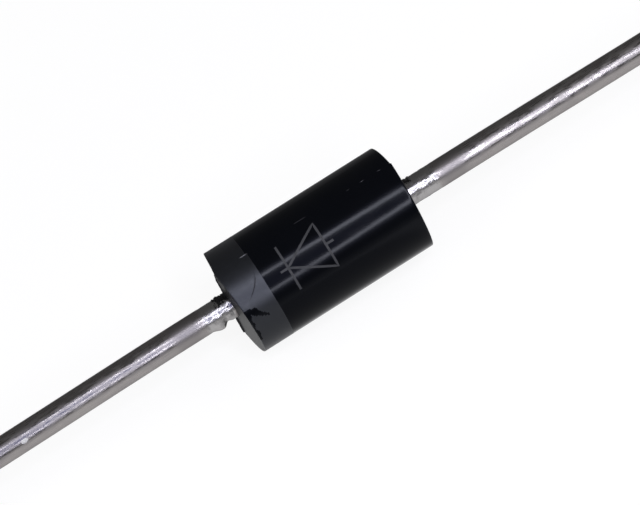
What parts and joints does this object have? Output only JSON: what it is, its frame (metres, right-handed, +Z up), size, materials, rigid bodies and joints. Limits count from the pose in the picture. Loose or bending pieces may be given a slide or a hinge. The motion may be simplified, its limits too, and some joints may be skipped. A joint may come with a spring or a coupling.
{
  "type": "axial rectifier diode",
  "caption": "Axial rectifier diode: a black moulded round case with a band at the cathode end and a straight tinned wire lead out of each end.",
  "frame": {"origin": "centre of the case, on the axis of the two leads", "axes": "+X along the leads from the cathode to the anode, +Z up along the parting plane of the case, +Y across it"},
  "size_m": [0.0604, 0.0052, 0.0052],
  "materials": {
    "case": "glossy black moulded epoxy",
    "band": "matte bleached epoxy",
    "tinned_wire": "dull tin plate on copper wire",
    "silicon": "polished silicon",
    "solder": "dull solder",
    "silicone": "soft white silicone"
  },
  "bodies": {
    "root": {"case": "case", "cathode_band": "band", "cathode_lead": "tinned_wire", "anode_lead": "tinned_wire", "silicon_die": "silicon", "cathode_solder": "solder", "anode_solder": "solder", "junction_coating": "silicone"}
  },
  "joints": []
}
